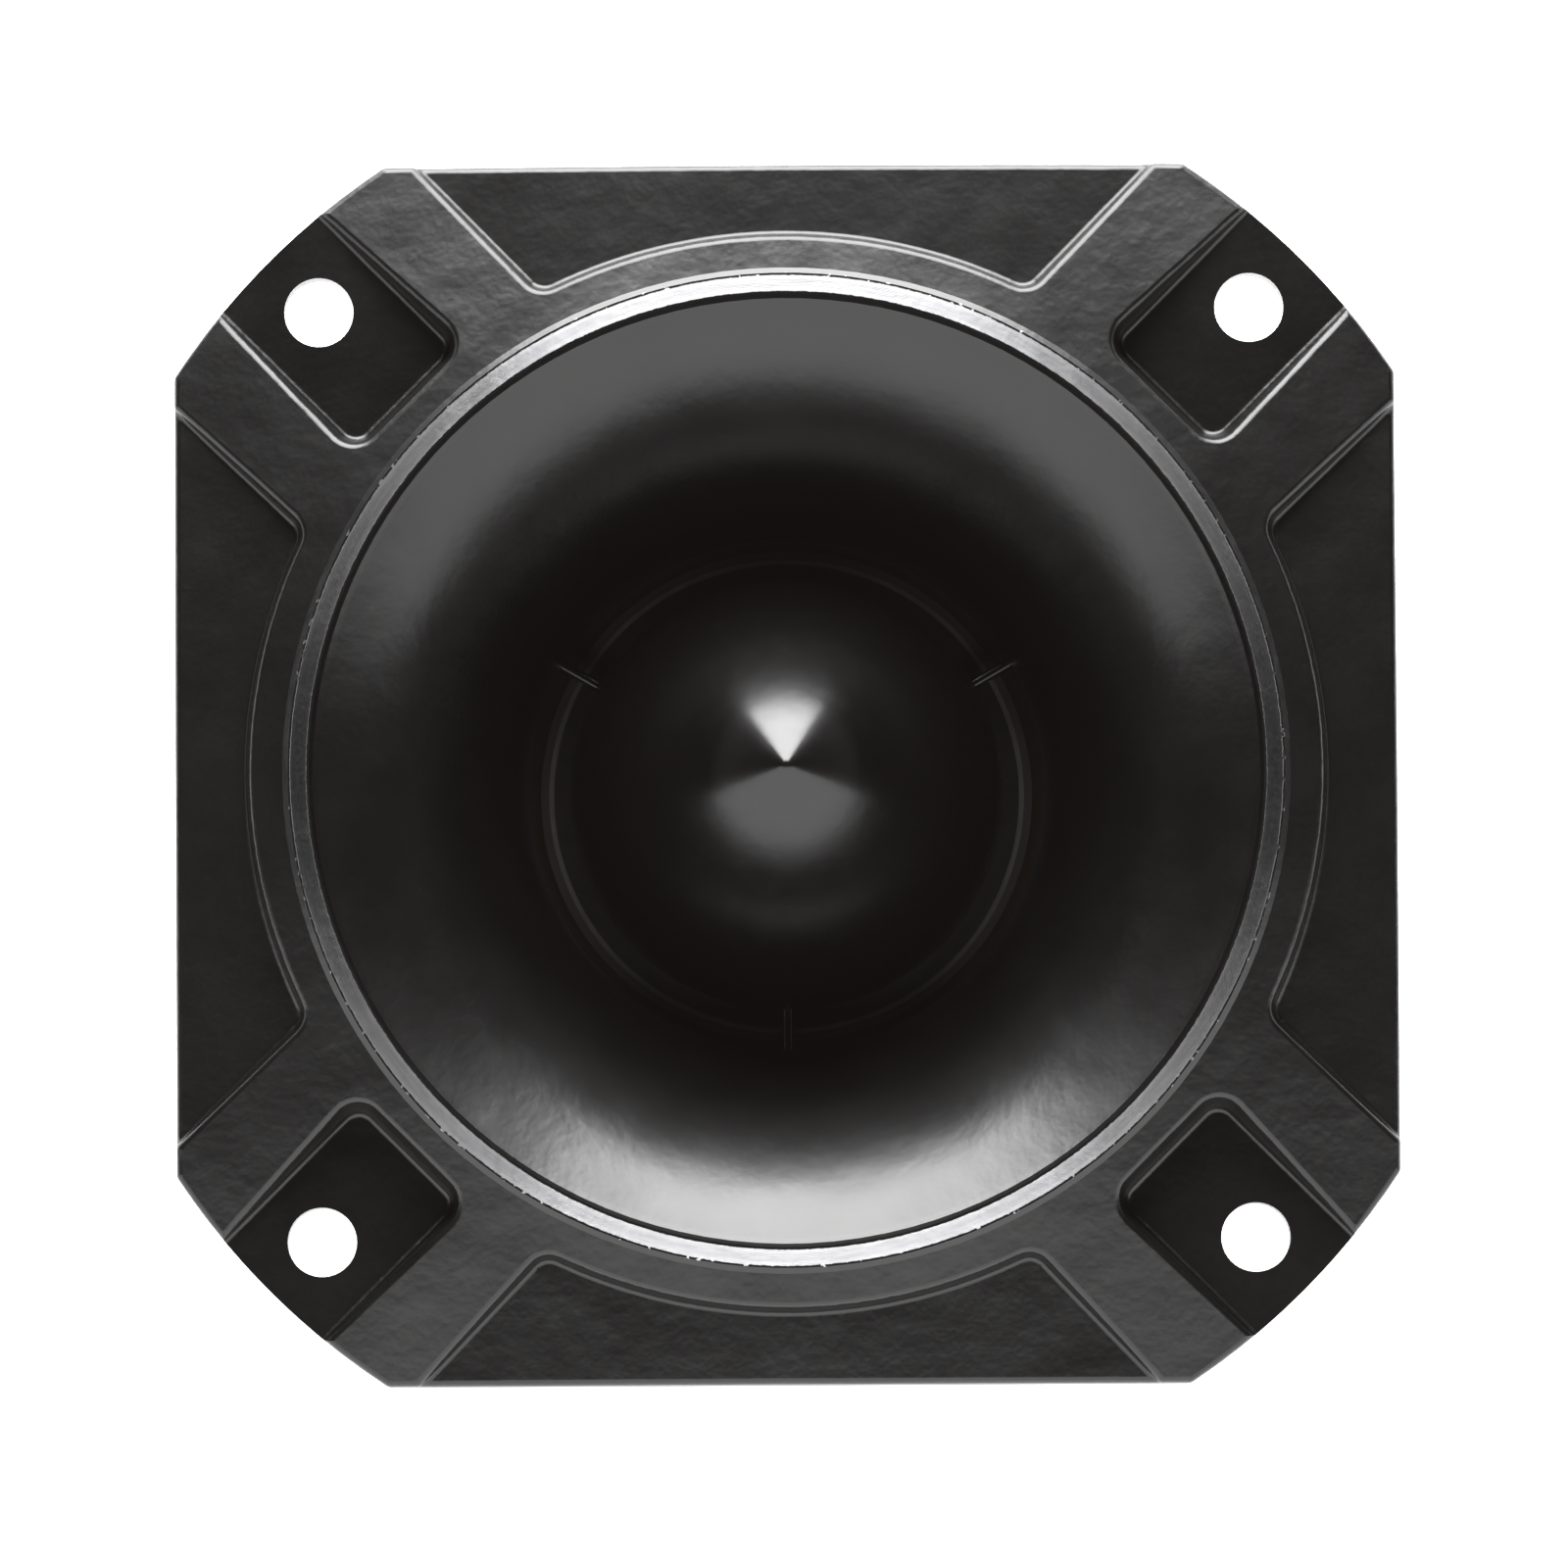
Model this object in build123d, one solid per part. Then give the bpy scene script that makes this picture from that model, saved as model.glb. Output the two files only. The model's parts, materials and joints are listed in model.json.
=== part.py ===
"""Car bullet tweeter: a cast horn with a square flange, a bullet phase plug and a ring-magnet motor.

Millimetres. The origin is on the tweeter's axis, on the flange's rear mounting face.
+Z is the way the sound goes, and -Y is the side that carries the wire terminals.
"""
from build123d import *
from math import cos, hypot, radians, sin, sqrt, tan
import os

# ---- driving dimensions: flange and horn ----
FLANGE_SIDE = 97.0
FLANGE_CORNER_R = 58.0  # the corners are cut by a circle about the axis
CORNER_FILLET = 0.8  # where that circle meets the straight sides
HOLE_SPACING = 74.0
HOLE_R = 2.75
RING_TOP_Z = 8.4  # the bare metal ring round the mouth
RING_INNER_R = 37.85
RING_OUTER_R = 39.25
BAND_START_R = 39.9  # the painted band and the arms are one cone, from here out
BAND_TOP_Z = 8.0
BAND_OUTER_R = 42.5
RIM_Z = 3.6  # the arms' height at the corner arcs
ARM_HALF_WIDTH = 13.0
ARM_CORNER_R = 2.0
PANEL_INNER_Z = 4.9  # the side panels are a flatter cone, this high beside the band
PANEL_TILT = 7.5
STEP_DRAFT = 8.0  # lean of the walls between arms and panels
EDGE_FILLET = 0.6
FOOT_FILLET = 0.45
POCKET_FLOOR_Z = 3.0
POCKET_INNER_R = 42.6
POCKET_WIDTH = 11.2
POCKET_CORNER_R = 1.5
POCKET_DRAFT = 9.0
MOUTH_R = 37.4
MOUTH_Z = 7.6
MOUTH_TILT = 26.0  # the bell's slope at its mouth, in degrees
THROAT_R = 20.8
THROAT_Z = -19.0
WALL = 2.4

# ---- driving dimensions: the casting behind the flange ----
BODY_R = 39.0  # the rear skirt and the top plate
REAR_Z = -25.5  # the skirt's end, where the motor is clamped
SEAT_R = 28.6  # the recess that centres the diaphragm ring
SEAT_Z = -22.0
PLUG_RING_R = 26.0
BOSS_R = 3.2
SCREW_CIRCLE_R = 35.3
SCREW_R = 1.5
RELIEF_INNER_R = 41.0
RELIEF_OUTER_R = 46.0
RELIEF_DEPTH = 3.2
RELIEF_ARC = 46.0

# ---- driving dimensions: bullet, diaphragm and motor ----
BULLET_R = 17.5
BULLET_TIP_Z = 13.9
BULLET_BASE_TILT = 87.0  # slope at the base; 90 is parallel to the axis
BULLET_TIP_TILT = 36.0
TIP_ROUND_R = 1.0
VANE_THICK = 0.9
VANE_EDGE_FILLET = 0.4
VANE_REAR_Z = -21.2
VANE_FRONT_Z = -19.2
VANE_ANGLES = (30, 150, 270)
PLUG_GAP = 0.9  # between the dome and the bullet's hollow rear
COIL_R = 19.0  # inside of the voice-coil former
FORMER_THICK = 0.15
COIL_THICK = 0.35
COIL_LOW_Z = -30.2
COIL_HIGH_Z = -25.8
DOME_HEIGHT = 7.0
DOME_EDGE_Z = -23.6
DOME_THICK = 0.12
GASKET_THICK = 0.5
FILM_THICK = 0.15
RING_HOLE_R = 23.6
GAP_OUTER_R = 19.85
TOP_PLATE_THICK = 5.0
MAGNET_R = 32.0
MAGNET_HOLE_R = 22.0
MAGNET_THICK = 13.0
BACK_PLATE_R = 31.0
BACK_PLATE_THICK = 6.0
POLE_R = 18.45
CAP_THICK = 0.25
PAD_R = 14.0
PAD_THICK = 1.8

# ---- driving dimensions: wire terminals, on the skirt's -Y side ----
PLATE_SEAT_Y = -36.0
PLATE_THICK = 2.0
PLATE_HALF_WIDTH = 15.0
PLATE_LOW_Z = -21.0
PLATE_HIGH_Z = -5.0
BODY_HALF_WIDTH = 10.0
BODY_LOW_Z = -19.8
BODY_HIGH_Z = -6.2
BODY_REAR_Y = -27.9
TERMINAL_X = 5.0
TAB_WIDTH = 7.0
TAB_LOW_Z = -12.4
TAB_HIGH_Z = -7.4
TAB_FRONT_Y = -40.6
TAB_REAR_Y = -33.2
TAB_TRAVEL = 2.3
TAB_CLEARANCE = 0.15
LIP_WIDTH = 0.5  # how far the tab's rear lip stands out past its stem
LIP_THICK = 2.4
CHAMBER_REAR_Y = -29.5
WIRE_HOLE_Z = -16.6
WIRE_HOLE_R = 1.3
STRIP = 0.4  # contact brass
LUG_X = 8.5
LUG_THICK = 0.5
PLATE_SCREW_X = 12.6
PLATE_SCREW_Z = -13.0
PLATE_SCREW_R = 1.25
PLATE_SCREW_HEAD_R = 2.1
CONTACT_HALF_WIDTH = 2.0
CONTACT_FRONT_Y = -33.0
CONTACT_LEAF_Y = -32.6
CONTACT_LOW_Z = -18.9
CONTACT_HIGH_Z = -14.0
CONTACT_SPACE = 0.3  # air round a contact in its chamber
TAIL_HALF_WIDTH = 1.1
TAIL_END_Z = -22.0
LEAD_Y = -32.8
LEAD_R = 0.55

QUARTERS = (45, 135, 225, 315)
SIDES = (-1, 1)

# ---- derived sizes ----
CONE_SLOPE = (BAND_TOP_Z - RIM_Z) / (FLANGE_CORNER_R - BAND_START_R)
BAND_OUTER_Z = BAND_TOP_Z - (BAND_OUTER_R - BAND_START_R) * CONE_SLOPE
BELL_ARC_R = (MOUTH_R - THROAT_R) / (1 - sin(radians(MOUTH_TILT)))
DOME_ARC_R = (COIL_R**2 + DOME_HEIGHT**2) / (2 * DOME_HEIGHT)
DOME_CENTRE_Z = DOME_EDGE_Z + DOME_HEIGHT - DOME_ARC_R
FORMER_R = COIL_R + FORMER_THICK
FILM_TOP_Z = SEAT_Z - GASKET_THICK
RING_TOP = FILM_TOP_Z - FILM_THICK
RING_LOW = REAR_Z + GASKET_THICK
PLATE_LOW = REAR_Z - TOP_PLATE_THICK
MAGNET_LOW = PLATE_LOW - MAGNET_THICK
MOTOR_REAR_Z = MAGNET_LOW - BACK_PLATE_THICK
PLATE_FRONT_Y = PLATE_SEAT_Y - PLATE_THICK
WASHER_LOW = PLATE_LOW - 0.6


# ---- small helpers ----
def turned(*edges):
    """A solid of revolution about Z from a closed outline of (r, z) edges."""
    return revolve(Plane.XZ * make_face(edges), Axis.Z)


def turned_polygon(*points):
    """A solid of revolution about Z from straight runs between (r, z) points."""
    return revolve(Plane.XZ * make_face(Polyline(*points, close=True)), Axis.Z)


def tube(outer_r, inner_r, low_z, high_z):
    """A plain ring between two heights."""
    return Pos(0, 0, low_z) * extrude(Circle(outer_r) - Circle(inner_r), high_z - low_z)


def disc(r, low_z, high_z):
    """A plain disc between two heights."""
    return Pos(0, 0, low_z) * extrude(Circle(r), high_z - low_z)


def block(low, high):
    """A box between two corners."""
    size = [b - a for a, b in zip(low, high)]
    middle = [(a + b) / 2 for a, b in zip(low, high)]
    return Pos(*middle) * Box(*size)


def along_y(shape, x, z, front_y, rear_y):
    """A sketch pushed from the front towards +Y."""
    return extrude(Plane((x, front_y, z), x_dir=(1, 0, 0), z_dir=(0, 1, 0)) * shape, rear_y - front_y)


def around(shape, angles):
    """Copies of a shape turned about Z, as a list."""
    return [Rot(0, 0, angle) * shape for angle in angles]


def cone_z(r):
    """Height of the arms' cone at a radius."""
    return BAND_TOP_Z - (r - BAND_START_R) * CONE_SLOPE


# ---- the horn casting ----
def bell_point(tilt, depth=0.0):
    """A point (r, z) on the bell's arc, or at some depth in its wall, where its slope is tilt degrees."""
    reach = BELL_ARC_R - depth
    return (
        THROAT_R + BELL_ARC_R - reach * sin(radians(tilt)),
        THROAT_Z + reach * cos(radians(tilt)),
    )


def under_cone(height, slope):
    """Everything between the flange's rear face and a cone that has a height at the band's outer radius."""
    inner_r = BODY_R - WALL / 2
    far_r = FLANGE_CORNER_R + 4
    inner_z = height + (BAND_OUTER_R - inner_r) * slope
    far_z = height - (far_r - BAND_OUTER_R) * slope
    return turned_polygon((inner_r, 0), (far_r, 0), (far_r, far_z), (inner_r, inner_z))


def flange_outline():
    """A square whose corners are cut by a circle."""
    square = Rectangle(FLANGE_SIDE, FLANGE_SIDE) & Circle(FLANGE_CORNER_R)
    return fillet(square.vertices(), CORNER_FILLET)


def raised_part():
    """The ring band and the four diagonal arms. The drafted walls have their nominal width at the top."""
    spread = BAND_OUTER_Z * tan(radians(STEP_DRAFT))
    foot_r = BAND_OUTER_R + spread
    shape = Circle(foot_r)
    for angle in (45, -45):
        shape += Rectangle(4 * FLANGE_CORNER_R, 2 * (ARM_HALF_WIDTH + spread), rotation=angle)
    inner_corners = [v for v in shape.vertices() if abs(hypot(v.X, v.Y) - foot_r) < 0.01]
    shape = fillet(inner_corners, ARM_CORNER_R - spread)
    return extrude(shape, RING_TOP_Z, taper=STEP_DRAFT) & under_cone(BAND_OUTER_Z, CONE_SLOPE)


def pocket():
    """The space above one screw hole, open at the corner arc, with drafted walls and a rounded foot."""
    length = FLANGE_CORNER_R
    shape = Pos(POCKET_INNER_R + length / 2, 0) * Rectangle(length, POCKET_WIDTH)
    shape = fillet([v for v in shape.vertices() if v.X < FLANGE_CORNER_R], POCKET_CORNER_R)
    space = Pos(0, 0, POCKET_FLOOR_Z) * extrude(shape, BAND_TOP_Z, taper=-POCKET_DRAFT)
    return fillet(space.faces().sort_by(Axis.Z)[0].edges(), FOOT_FILLET)


def largest_cones(solid, count):
    """The largest sloping faces: the arms' first, then the four side panels'."""
    return sorted(solid.faces().filter_by(GeomType.CONE), key=lambda face: -face.area)[:count]


def on_outline(edge):
    """True for an edge on the flange's outer side faces."""
    place = edge.center()
    margin = 0.3
    on_side = max(abs(place.X), abs(place.Y)) > FLANGE_SIDE / 2 - margin
    return on_side or hypot(place.X, place.Y) > FLANGE_CORNER_R - margin


def panel_edges(flange):
    """The edges round the four side panels."""
    return [edge for face in largest_cones(flange, 5)[1:] for edge in face.outer_wire().edges()]


def flange_front():
    """Arms, ring band and side panels, with their cast roundings."""
    slab = extrude(flange_outline(), RING_TOP_Z)
    flange = slab & raised_part()
    flange += slab & under_cone(PANEL_INNER_Z, tan(radians(PANEL_TILT)))
    flange = fillet([edge for edge in panel_edges(flange) if not on_outline(edge)], FOOT_FILLET)
    flange -= around(pocket(), QUARTERS)
    rims = [edge for edge in panel_edges(flange) if on_outline(edge)]
    return fillet(list(largest_cones(flange, 1)[0].outer_wire().edges()) + rims, EDGE_FILLET)


def bell():
    """The flared bell from throat to mouth, the bare ring round it, and the clamp seat at its rear."""
    mid_tilt = (MOUTH_TILT + 90) / 2
    band_r = BAND_START_R + 1
    neck_r = PLUG_RING_R + 1.2
    neck_z = SEAT_Z + WALL / 2
    seat_outer_r = SEAT_R + WALL
    outer_low = bell_point(84, WALL)
    outer_high = bell_point(MOUTH_TILT + 6, WALL)
    return turned(
        ThreePointArc(bell_point(90), bell_point(mid_tilt), bell_point(MOUTH_TILT)),
        Polyline(
            bell_point(MOUTH_TILT),
            (MOUTH_R + 0.1, MOUTH_Z),
            (RING_INNER_R, RING_TOP_Z),
            (RING_OUTER_R, RING_TOP_Z),
            (RING_OUTER_R + 0.2, RING_TOP_Z),
            (BAND_START_R, BAND_TOP_Z),
            (band_r, cone_z(band_r)),
            (band_r, MOUTH_Z - 2 * WALL),
            outer_high,
        ),
        ThreePointArc(outer_high, bell_point(mid_tilt, WALL), outer_low),
        Polyline(
            outer_low,
            (neck_r, THROAT_Z + WALL),
            (neck_r, neck_z),
            (seat_outer_r, neck_z),
            (seat_outer_r, REAR_Z),
            (SEAT_R, REAR_Z),
            (SEAT_R, SEAT_Z),
            (PLUG_RING_R, SEAT_Z),
            (PLUG_RING_R, THROAT_Z),
            bell_point(90),
        ),
    )


def bell_air():
    """The open space inside the bell."""
    mid_tilt = (MOUTH_TILT + 90) / 2
    mouth = bell_point(MOUTH_TILT)
    return turned(
        ThreePointArc(bell_point(90), bell_point(mid_tilt), mouth),
        Polyline(mouth, (0, MOUTH_Z), (0, THROAT_Z), bell_point(90)),
    )


def skirt():
    """The round rear wall with its screw bosses and ribs."""
    wall = tube(BODY_R, BODY_R - WALL, REAR_Z, MOUTH_Z - WALL)
    boss = Pos(SCREW_CIRCLE_R, 0) * disc(BOSS_R, REAR_Z, -8)
    rib = block((THROAT_R + 4, -1, -15), (BODY_R - 1, 1, 1))
    for piece in around(boss, QUARTERS) + around(rib, QUARTERS):
        wall += piece
    return wall


def plate_surround(front_y, rear_y, grow):
    """A block behind or before the terminal plate, wider than it by grow at each end."""
    half = PLATE_HALF_WIDTH + grow
    return block((-half, front_y, PLATE_LOW_Z - 0.5), (half, rear_y, PLATE_HIGH_Z + 0.5))


def plate_screw_holes(r, front_y, rear_y):
    """Round spaces or shanks at the two screws of the terminal plate."""
    return [along_y(Circle(r), side * PLATE_SCREW_X, PLATE_SCREW_Z, front_y, rear_y) for side in SIDES]


def terminal_cut():
    """The flat and the window that let the terminal block into the skirt, and its screw holes."""
    through_y = PLATE_SEAT_Y + 4
    window_half = BODY_HALF_WIDTH + 0.2
    window = block(
        (-window_half, PLATE_SEAT_Y - 1, BODY_LOW_Z - 0.2),
        (window_half, through_y, BODY_HIGH_Z + 0.2),
    )
    flat = plate_surround(-BODY_R - 3, PLATE_SEAT_Y, 2)
    return [flat, window] + plate_screw_holes(PLATE_SCREW_R, PLATE_SEAT_Y - 1, through_y)


def lug_notch(side):
    """A gap through the seat wall for one solder lug."""
    return block((side * LUG_X - 2, -SEAT_R - 4, REAR_Z), (side * LUG_X + 2, -20, SEAT_Z - 0.01))


def rear_relief():
    """A hollow in the flange's rear face, along one side."""
    middle_r = (RELIEF_INNER_R + RELIEF_OUTER_R) / 2
    section = Rectangle(RELIEF_OUTER_R - RELIEF_INNER_R, 2 * RELIEF_DEPTH)
    return Rot(0, 0, -RELIEF_ARC / 2) * revolve(Plane.XZ * Pos(middle_r, 0) * section, Axis.Z, RELIEF_ARC)


def horn_flange():
    """The one casting: flange, horn and rear skirt, with every hole and seat cut in it."""
    casting = flange_front() + bell() + skirt() + plate_surround(PLATE_SEAT_Y, PLATE_SEAT_Y + 2.6, 1.5)
    casting -= [bell_air(), disc(SEAT_R, REAR_Z, SEAT_Z)]
    casting -= terminal_cut()
    casting -= [lug_notch(side) for side in SIDES]
    hole = disc(HOLE_R, -1, RING_TOP_Z)
    reach = HOLE_SPACING / 2
    casting -= [Pos(x * reach, y * reach) * hole for x in SIDES for y in SIDES]
    thread = Pos(SCREW_CIRCLE_R, 0) * disc(SCREW_R, REAR_Z, -17)
    casting -= around(thread, QUARTERS)
    return casting - around(rear_relief(), (0, 90, 180, 270))


# ---- phase plug ----
def sphere_z(arc_r, r):
    """Height of a dome of some radius about the dome's centre."""
    return DOME_CENTRE_Z + sqrt(arc_r**2 - r**2)


def bullet():
    """The pointed bullet, with a hollow rear that follows the dome."""

    def tip_point(tilt):
        return TIP_ROUND_R * sin(radians(tilt)), BULLET_TIP_Z - TIP_ROUND_R * (1 - cos(radians(tilt)))

    shoulder = tip_point(BULLET_TIP_TILT)
    lean = sin(radians(BULLET_BASE_TILT)) - sin(radians(BULLET_TIP_TILT))
    arc_r = (BULLET_R - shoulder[0]) / lean
    centre_r = shoulder[0] - arc_r * sin(radians(BULLET_TIP_TILT))
    centre_z = shoulder[1] - arc_r * cos(radians(BULLET_TIP_TILT))

    def ogive(tilt):
        return centre_r + arc_r * sin(radians(tilt)), centre_z + arc_r * cos(radians(tilt))

    hollow_r = DOME_ARC_R + PLUG_GAP
    base = ogive(BULLET_BASE_TILT)
    edge, halfway, crown = [(r, sphere_z(hollow_r, r)) for r in (BULLET_R, BULLET_R / 2, 0)]
    return turned(
        ThreePointArc(tip_point(0), tip_point(BULLET_TIP_TILT / 2), shoulder),
        ThreePointArc(shoulder, ogive((BULLET_TIP_TILT + BULLET_BASE_TILT) / 2), base),
        Line(base, edge),
        ThreePointArc(edge, halfway, crown),
        Line(crown, tip_point(0)),
    )


def phase_plug():
    """Bullet, three vanes and the ring that is clamped behind the throat, moulded in one."""
    plug = bullet() + tube(PLUG_RING_R, THROAT_R, SEAT_Z, THROAT_Z)
    half = VANE_THICK / 2
    vane = block((BULLET_R - 1, -half, VANE_REAR_Z), (THROAT_R + 1, half, VANE_FRONT_Z))
    vane = fillet(vane.edges().filter_by(Axis.X).group_by(Axis.Z)[-1], VANE_EDGE_FILLET)
    for piece in around(vane, VANE_ANGLES):
        plug += piece
    return plug


# ---- diaphragm ----
def dome():
    """Thin metal dome with a flat lip that sits on the former."""
    outer = DOME_ARC_R
    inner = DOME_ARC_R - DOME_THICK
    rim_r = COIL_R - 0.15
    under_r = rim_r - 0.1
    lip_r = FORMER_R + 0.75
    lip_top = DOME_EDGE_Z + DOME_THICK
    rim, side, crown = [(r, sphere_z(outer, r)) for r in (rim_r, rim_r / 2, 0)]
    under_rim, under_side, under_crown = [(r, sphere_z(inner, r)) for r in (under_r, rim_r / 2, 0)]
    return turned(
        ThreePointArc(crown, side, rim),
        Polyline(
            rim,
            (rim_r + 0.1, lip_top),
            (lip_r, lip_top),
            (lip_r, DOME_EDGE_Z),
            (rim_r, DOME_EDGE_Z),
            under_rim,
        ),
        ThreePointArc(under_rim, under_side, under_crown),
        Line(under_crown, crown),
    )


def surround():
    """Film that carries the dome: clamped flat outside, with one roll down towards the motor."""
    inner_r = FORMER_R + 0.1
    foot_r = FORMER_R + 0.75
    clamp_r = RING_HOLE_R - 0.2
    outer_r = SEAT_R - 1.2
    lip_z = DOME_EDGE_Z + DOME_THICK
    low = [(inner_r, lip_z), (foot_r, lip_z), ((foot_r + clamp_r) / 2, DOME_EDGE_Z - 0.5)]
    low += [(clamp_r, RING_TOP), (outer_r, RING_TOP)]
    high = [(r, z + FILM_THICK) for r, z in low]
    return turned(
        Polyline(high[0], low[0], low[1]),
        ThreePointArc(low[1], low[2], low[3]),
        Polyline(low[3], low[4], high[4], high[3]),
        ThreePointArc(high[3], high[2], high[1]),
        Line(high[1], high[0]),
    )


def lug_block(side, half_width, front_y, rear_y, low, high):
    """A block at one lug's place, from and to some height above the diaphragm ring's rear face."""
    x = side * LUG_X
    return block((x - half_width, front_y, RING_LOW + low), (x + half_width, rear_y, RING_LOW + high))


def diaphragm_ring():
    """The ring that clamps the surround, with a groove for each lug and its lead."""
    ring = tube(SEAT_R - 0.1, RING_HOLE_R, RING_LOW, RING_TOP)
    return ring - [lug_block(side, 1.6, -SEAT_R - 1, -20, -0.1, LUG_THICK + 0.25) for side in SIDES]


def solder_lugs():
    """Two brass tabs from the diaphragm ring out through the seat wall."""
    lugs = Part()
    for side in SIDES:
        lugs += lug_block(side, 1.5, -33.4, -RING_HOLE_R, 0.05, LUG_THICK + 0.05)
    return lugs


def coil_leads():
    """Two flat flexible leads from the former to the lugs."""
    low = LUG_THICK + 0.05
    half = 0.4
    former_y = -sqrt(FORMER_R**2 - (LUG_X - half) ** 2)
    leads = Part()
    for side in SIDES:
        leads += lug_block(side, half, -RING_HOLE_R - 0.8, former_y, low, low + 0.1)
    return leads - disc(FORMER_R, REAR_Z, SEAT_Z)


# ---- motor ----
def top_plate():
    """The steel plate in front of the magnet, with the coil's gap at its centre."""
    plate = tube(BODY_R, GAP_OUTER_R, PLATE_LOW, REAR_Z)
    plate = chamfer(plate.edges().sort_by(SortBy.LENGTH)[-2:], 0.4)
    hole = Pos(SCREW_CIRCLE_R, 0) * disc(SCREW_R + 0.1, PLATE_LOW - 1, REAR_Z + 1)
    return plate - around(hole, QUARTERS)


def magnet_ring():
    """The ferrite ring."""
    ring = tube(MAGNET_R, MAGNET_HOLE_R, MAGNET_LOW, PLATE_LOW)
    return chamfer(ring.edges().sort_by(SortBy.LENGTH)[-2:], 0.6)


def yoke():
    """Back plate and pole, forged in one."""
    rear_edge = 1.0
    front_edge = 0.4
    return turned_polygon(
        (0, MOTOR_REAR_Z),
        (BACK_PLATE_R - rear_edge, MOTOR_REAR_Z),
        (BACK_PLATE_R, MOTOR_REAR_Z + rear_edge),
        (BACK_PLATE_R, MAGNET_LOW - front_edge),
        (BACK_PLATE_R - front_edge, MAGNET_LOW),
        (POLE_R, MAGNET_LOW),
        (POLE_R, REAR_Z),
        (0, REAR_Z),
    )


def pole_cap():
    """Copper cap pressed over the pole, which keeps the coil's inductance down."""
    return disc(POLE_R + CAP_THICK, PLATE_LOW - 1, REAR_Z + CAP_THICK) - disc(POLE_R, PLATE_LOW - 2, REAR_Z)


def motor_screws():
    """Four socket screws from the top plate into the horn."""
    head_low = WASHER_LOW - 3
    socket = RegularPolygon(radius=1.25, side_count=6, major_radius=False)
    screw = disc(2.7, head_low, WASHER_LOW) + disc(SCREW_R, WASHER_LOW, -18)
    screw -= Pos(0, 0, head_low) * extrude(socket, 1.6)
    screws = Part()
    for piece in around(Pos(SCREW_CIRCLE_R, 0) * screw, QUARTERS):
        screws += piece
    return screws


def lock_washers():
    """Four split washers under the screw heads."""
    gap = block((0, -0.25, WASHER_LOW - 1), (4, 0.25, PLATE_LOW + 1))
    washer = tube(2.6, SCREW_R + 0.05, WASHER_LOW, PLATE_LOW) - gap
    washers = Part()
    for piece in around(Pos(SCREW_CIRCLE_R, 0) * washer, QUARTERS):
        washers += piece
    return washers


# ---- wire terminals ----
def tab_box(x, grow, front_y, rear_y):
    """A box with the tab's section, grown on all four sides."""
    half = TAB_WIDTH / 2 + grow
    return block((x - half, front_y, TAB_LOW_Z - grow), (x + half, rear_y, TAB_HIGH_Z + grow))


def contact_chamber(x):
    """The space for one pole's contact, and the slot its tail comes out by."""
    half = CONTACT_HALF_WIDTH + CONTACT_SPACE
    tail_half = TAIL_HALF_WIDTH + 0.2
    space = block((x - half, CONTACT_FRONT_Y - 1, -19.0), (x + half, CHAMBER_REAR_Y, TAB_LOW_Z + 0.4))
    slot = block((x - tail_half, CONTACT_FRONT_Y - 0.2, BODY_LOW_Z - 1), (x + tail_half, -32.5, -18.5))
    return [space, slot]


def terminal_block():
    """Face plate and housing, with a tab chamber, a wire hole and a contact chamber for each pole."""
    height = PLATE_HIGH_Z - PLATE_LOW_Z
    mid_z = (PLATE_HIGH_Z + PLATE_LOW_Z) / 2
    plate = RectangleRounded(2 * PLATE_HALF_WIDTH, height, 2.5)
    housing = along_y(plate, 0, mid_z, PLATE_FRONT_Y, PLATE_SEAT_Y)
    half = BODY_HALF_WIDTH
    housing += block((-half, PLATE_SEAT_Y, BODY_LOW_Z), (half, BODY_REAR_Y, BODY_HIGH_Z))
    lip_front = TAB_REAR_Y - LIP_THICK - 0.3
    for side in SIDES:
        x = side * TERMINAL_X
        housing -= tab_box(x, TAB_CLEARANCE, PLATE_FRONT_Y - 1, CHAMBER_REAR_Y)
        housing -= tab_box(x, LIP_WIDTH + TAB_CLEARANCE, lip_front, CHAMBER_REAR_Y)
        housing -= along_y(Circle(WIRE_HOLE_R), x, WIRE_HOLE_Z, PLATE_FRONT_Y - 1, CONTACT_FRONT_Y)
        housing -= contact_chamber(x)
    return housing - plate_screw_holes(PLATE_SCREW_R + 0.1, PLATE_FRONT_Y - 1, PLATE_SEAT_Y + 1)


def spring_seat_y():
    """Depth of the blind hole in a tab, where its spring pushes."""
    return TAB_FRONT_Y + 3.0


def push_tab(side):
    """One terminal's push tab, with a lip at its rear and a blind hole for its spring."""
    x = side * TERMINAL_X
    stem = tab_box(x, 0, TAB_FRONT_Y, TAB_REAR_Y)
    stem = fillet(stem.faces().sort_by(Axis.Y)[0].edges(), 0.6)
    tab = stem + tab_box(x, LIP_WIDTH, TAB_REAR_Y - LIP_THICK, TAB_REAR_Y)
    return tab - along_y(Circle(1.9), x, (TAB_LOW_Z + TAB_HIGH_Z) / 2, spring_seat_y(), TAB_REAR_Y + 1)


def tab_spring(side):
    """The coil spring between one tab and the rear of its chamber."""
    wire_r = 0.2
    start_y = spring_seat_y() + wire_r
    height = CHAMBER_REAR_Y - wire_r - start_y
    path = Helix(pitch=height / 6, height=height, radius=1.45)
    spring = sweep(Plane(path @ 0, z_dir=path % 0) * Circle(wire_r), path, is_frenet=True)
    seat = (side * TERMINAL_X, start_y, (TAB_LOW_Z + TAB_HIGH_Z) / 2)
    return Plane(seat, x_dir=(1, 0, 0), z_dir=(0, 1, 0)) * spring


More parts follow.
